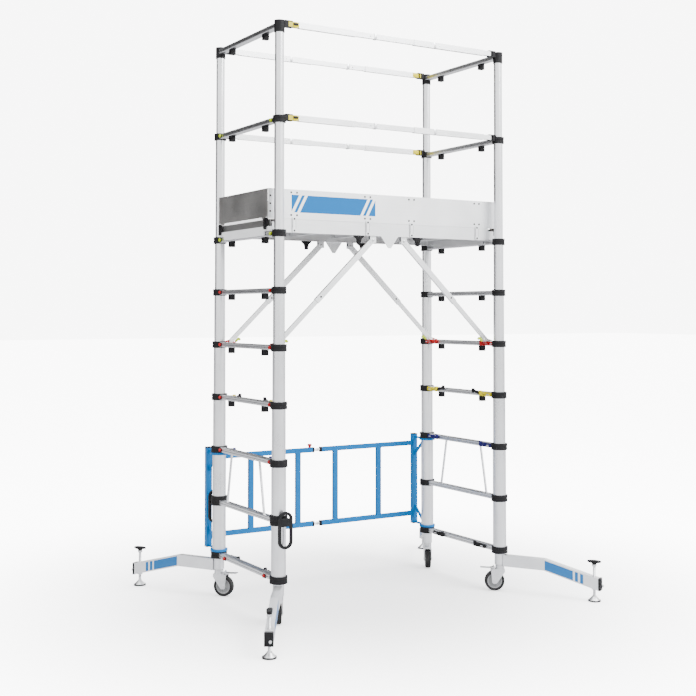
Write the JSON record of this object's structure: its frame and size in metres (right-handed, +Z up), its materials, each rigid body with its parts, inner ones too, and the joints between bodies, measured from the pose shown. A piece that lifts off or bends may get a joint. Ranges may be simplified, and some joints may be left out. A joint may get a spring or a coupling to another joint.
{
  "type": "mobile work tower",
  "caption": "Narrow aluminium work tower: telescopic end frames, deck with toe boards and hatch, guard rails, hinged blue base brace, castors and levelling outriggers.",
  "frame": {"origin": "on the floor, midway between the four legs", "axes": "+Z up; +X along the tower; +Y towards the side with the folding base brace"},
  "size_m": [2.0582, 1.7188, 3.0596],
  "materials": {
    "bare_aluminium": "satin",
    "black_moulding": "matte",
    "deck_surface": "matte",
    "blue_paint": "gloss",
    "zinc_steel": "satin",
    "wheel_rubber": "matte",
    "lime_moulding": "semi-gloss",
    "navy_moulding": "semi-gloss",
    "yellow_moulding": "semi-gloss",
    "label_film": "gloss",
    "red_moulding": "semi-gloss"
  },
  "bodies": {
    "base": {"base_stiles": "bare_aluminium", "base_rungs": "bare_aluminium", "base_collars": "black_moulding", "frame_struts": "bare_aluminium", "caster_legs": "zinc_steel", "carry_handles": "black_moulding", "base_brace_panels": "blue_paint", "base_brace_posts": "blue_paint"},
    "section_4": {"stiles_4": "bare_aluminium", "rungs_4": "bare_aluminium", "collars_4": "black_moulding"},
    "section_5_to_7": {"stiles_5_to_7": "bare_aluminium", "rungs_5_to_7": "bare_aluminium", "collars_5_to_7": "black_moulding"},
    "section_8": {"stiles_8": "bare_aluminium", "rungs_8": "bare_aluminium", "collars_8": "black_moulding"},
    "section_9": {"stiles_9": "bare_aluminium", "rungs_9": "bare_aluminium", "caps_9": "black_moulding"},
    "platform": {"deck_frame": "bare_aluminium", "deck_panel": "deck_surface", "side_toe_boards": "bare_aluminium", "platform_fittings": "black_moulding", "brace_outer_tubes": "bare_aluminium"},
    "hatch": {"hatch": "deck_surface"},
    "end_toe_board_left": {"end_toe_board_left": "bare_aluminium"},
    "end_toe_board_right": {"end_toe_board_right": "bare_aluminium"},
    "brace_inner_front_left": {"brace_inner_front_left": "bare_aluminium"},
    "caster_front_left": {"caster_fork_front_left": "zinc_steel"},
    "wheel_front_left": {"caster_wheel_front_left": "wheel_rubber"},
    "brake_pedal_front_left": {"brake_pedal_front_left": "zinc_steel"},
    "outrigger_front_left": {"outrigger_arm_front_left": "bare_aluminium"},
    "jack_front_left": {"jack_screw_front_left": "zinc_steel", "jack_foot_front_left": "zinc_steel"},
    "brace_inner_front_right": {"brace_inner_front_right": "bare_aluminium"},
    "caster_front_right": {"caster_fork_front_right": "zinc_steel"},
    "wheel_front_right": {"caster_wheel_front_right": "wheel_rubber"},
    "brake_pedal_front_right": {"brake_pedal_front_right": "zinc_steel"},
    "outrigger_front_right": {"outrigger_arm_front_right": "bare_aluminium"},
    "jack_front_right": {"jack_screw_front_right": "zinc_steel", "jack_foot_front_right": "zinc_steel"},
    "brace_inner_back_left": {"brace_inner_back_left": "bare_aluminium"},
    "caster_back_left": {"caster_fork_back_left": "zinc_steel"},
    "wheel_back_left": {"caster_wheel_back_left": "wheel_rubber"},
    "brake_pedal_back_left": {"brake_pedal_back_left": "zinc_steel"},
    "outrigger_back_left": {"outrigger_arm_back_left": "bare_aluminium"},
    "jack_back_left": {"jack_screw_back_left": "zinc_steel", "jack_foot_back_left": "zinc_steel"},
    "brace_inner_back_right": {"brace_inner_back_right": "bare_aluminium"},
    "caster_back_right": {"caster_fork_back_right": "zinc_steel"},
    "wheel_back_right": {"caster_wheel_back_right": "wheel_rubber"},
    "brake_pedal_back_right": {"brake_pedal_back_right": "zinc_steel"},
    "outrigger_back_right": {"outrigger_arm_back_right": "bare_aluminium"},
    "jack_back_right": {"jack_screw_back_right": "zinc_steel", "jack_foot_back_right": "zinc_steel"},
    "guard_rail_front_mid": {"guard_rail_front_mid": "bare_aluminium"},
    "guard_rail_front_top": {"guard_rail_front_top": "bare_aluminium"},
    "guard_rail_back_mid": {"guard_rail_back_mid": "bare_aluminium"},
    "guard_rail_back_top": {"guard_rail_back_top": "bare_aluminium"}
  },
  "joints": [
    {"name": "section_4_slide", "type": "slide", "parent": "base", "child": "section_4", "axis": [0, 0, 1], "range_m": [-0.22, 0]},
    {"name": "section_5_slide", "type": "slide", "parent": "section_4", "child": "section_5_to_7", "axis": [0, 0, 1], "range_m": [-0.22, 0]},
    {"name": "section_8_slide", "type": "slide", "parent": "section_5_to_7", "child": "section_8", "axis": [0, 0, 1], "range_m": [-0.3, 0]},
    {"name": "section_9_slide", "type": "slide", "parent": "section_8", "child": "section_9", "axis": [0, 0, 1], "range_m": [-0.4, 0]},
    {"name": "platform_lift", "type": "slide", "parent": "section_5_to_7", "child": "platform", "axis": [0, 0, 1], "range_m": [0, 0.12]},
    {"name": "hatch_hinge", "type": "hinge", "parent": "platform", "child": "hatch", "pos_m": [0.3, 0.214, 2.05], "axis": [-1, 0, 0], "range_deg": [0, 90]},
    {"name": "end_toe_board_left_hinge", "type": "hinge", "parent": "platform", "child": "end_toe_board_left", "pos_m": [-0.738, 0, 2.05], "axis": [0, 1, 0], "range_deg": [0, 88]},
    {"name": "end_toe_board_right_hinge", "type": "hinge", "parent": "platform", "child": "end_toe_board_right", "pos_m": [0.738, 0, 2.05], "axis": [0, -1, 0], "range_deg": [0, 88]},
    {"name": "brace_inner_front_left_slide", "type": "slide", "parent": "platform", "child": "brace_inner_front_left", "axis": [0.7221, 0, 0.6918], "range_m": [0, 0.1]},
    {"name": "caster_front_left_swivel", "type": "hinge", "parent": "base", "child": "caster_front_left", "pos_m": [-0.705, -0.355, 0.13], "axis": [0, 0, 1], "continuous": true},
    {"name": "wheel_front_left_spin", "type": "hinge", "parent": "caster_front_left", "child": "wheel_front_left", "pos_m": [-0.69232, -0.32781, 0.056], "axis": [-0.9063, 0.4226, 0], "continuous": true},
    {"name": "brake_pedal_front_left_press", "type": "hinge", "parent": "caster_front_left", "child": "brake_pedal_front_left", "pos_m": [-0.69063, -0.32419, 0.13], "axis": [-0.9063, 0.4226, 0], "range_deg": [0, 8]},
    {"name": "outrigger_front_left_swing", "type": "hinge", "parent": "base", "child": "outrigger_front_left", "pos_m": [-0.705, -0.355, 0.17], "axis": [0, 0, 1], "range_deg": [-60, 60]},
    {"name": "jack_front_left_screw", "type": "slide", "parent": "outrigger_front_left", "child": "jack_front_left", "axis": [0, 0, 1], "range_m": [-0.05, 0.03]},
    {"name": "brace_inner_front_right_slide", "type": "slide", "parent": "platform", "child": "brace_inner_front_right", "axis": [-0.7221, 0, 0.6918], "range_m": [0, 0.1]},
    {"name": "caster_front_right_swivel", "type": "hinge", "parent": "base", "child": "caster_front_right", "pos_m": [0.705, -0.355, 0.13], "axis": [0, 0, 1], "continuous": true},
    {"name": "wheel_front_right_spin", "type": "hinge", "parent": "caster_front_right", "child": "wheel_front_right", "pos_m": [0.67956, -0.3391, 0.056], "axis": [-0.5299, -0.848, 0], "continuous": true},
    {"name": "brake_pedal_front_right_press", "type": "hinge", "parent": "caster_front_right", "child": "brake_pedal_front_right", "pos_m": [0.67617, -0.33698, 0.13], "axis": [-0.5299, -0.848, 0], "range_deg": [0, 8]},
    {"name": "outrigger_front_right_swing", "type": "hinge", "parent": "base", "child": "outrigger_front_right", "pos_m": [0.705, -0.355, 0.17], "axis": [0, 0, 1], "range_deg": [-60, 60]},
    {"name": "jack_front_right_screw", "type": "slide", "parent": "outrigger_front_right", "child": "jack_front_right", "axis": [0, 0, 1], "range_m": [-0.05, 0.03]},
    {"name": "brace_inner_back_left_slide", "type": "slide", "parent": "platform", "child": "brace_inner_back_left", "axis": [0.7221, 0, 0.6918], "range_m": [0, 0.1]},
    {"name": "caster_back_left_swivel", "type": "hinge", "parent": "base", "child": "caster_back_left", "pos_m": [-0.705, 0.355, 0.13], "axis": [0, 0, 1], "continuous": true},
    {"name": "wheel_back_left_spin", "type": "hinge", "parent": "caster_back_left", "child": "wheel_back_left", "pos_m": [-0.68493, 0.33271, 0.056], "axis": [0.7431, 0.6691, 0], "continuous": true},
    {"name": "brake_pedal_back_left_press", "type": "hinge", "parent": "caster_back_left", "child": "brake_pedal_back_left", "pos_m": [-0.68225, 0.32973, 0.13], "axis": [0.7431, 0.6691, 0], "range_deg": [0, 8]},
    {"name": "outrigger_back_left_swing", "type": "hinge", "parent": "base", "child": "outrigger_back_left", "pos_m": [-0.705, 0.355, 0.17], "axis": [0, 0, 1], "range_deg": [-60, 60]},
    {"name": "jack_back_left_screw", "type": "slide", "parent": "outrigger_back_left", "child": "jack_back_left", "axis": [0, 0, 1], "range_m": [-0.05, 0.03]},
    {"name": "brace_inner_back_right_slide", "type": "slide", "parent": "platform", "child": "brace_inner_back_right", "axis": [-0.7221, 0, 0.6918], "range_m": [0, 0.1]},
    {"name": "caster_back_right_swivel", "type": "hinge", "parent": "base", "child": "caster_back_right", "pos_m": [0.705, 0.355, 0.13], "axis": [0, 0, 1], "continuous": true},
    {"name": "wheel_back_right_spin", "type": "hinge", "parent": "caster_back_right", "child": "wheel_back_right", "pos_m": [0.69, 0.32902, 0.056], "axis": [0.866, -0.5, 0], "continuous": true},
    {"name": "brake_pedal_back_right_press", "type": "hinge", "parent": "caster_back_right", "child": "brake_pedal_back_right", "pos_m": [0.688, 0.32555, 0.13], "axis": [0.866, -0.5, 0], "range_deg": [0, 8]},
    {"name": "outrigger_back_right_swing", "type": "hinge", "parent": "base", "child": "outrigger_back_right", "pos_m": [0.705, 0.355, 0.17], "axis": [0, 0, 1], "range_deg": [-60, 60]},
    {"name": "jack_back_right_screw", "type": "slide", "parent": "outrigger_back_right", "child": "jack_back_right", "axis": [0, 0, 1], "range_m": [-0.05, 0.03]},
    {"name": "guard_rail_front_mid_hinge", "type": "hinge", "parent": "section_8", "child": "guard_rail_front_mid", "pos_m": [0.645, -0.355, 2.562], "axis": [0, 0, 1], "range_deg": [0, 90]},
    {"name": "guard_rail_front_top_hinge", "type": "hinge", "parent": "section_9", "child": "guard_rail_front_top", "pos_m": [0.645, -0.355, 3.042], "axis": [0, 0, 1], "range_deg": [0, 90]},
    {"name": "guard_rail_back_mid_hinge", "type": "hinge", "parent": "section_8", "child": "guard_rail_back_mid", "pos_m": [-0.645, 0.355, 2.562], "axis": [0, 0, 1], "range_deg": [0, 90]},
    {"name": "guard_rail_back_top_hinge", "type": "hinge", "parent": "section_9", "child": "guard_rail_back_top", "pos_m": [-0.645, 0.355, 3.042], "axis": [0, 0, 1], "range_deg": [0, 90]}
  ]
}
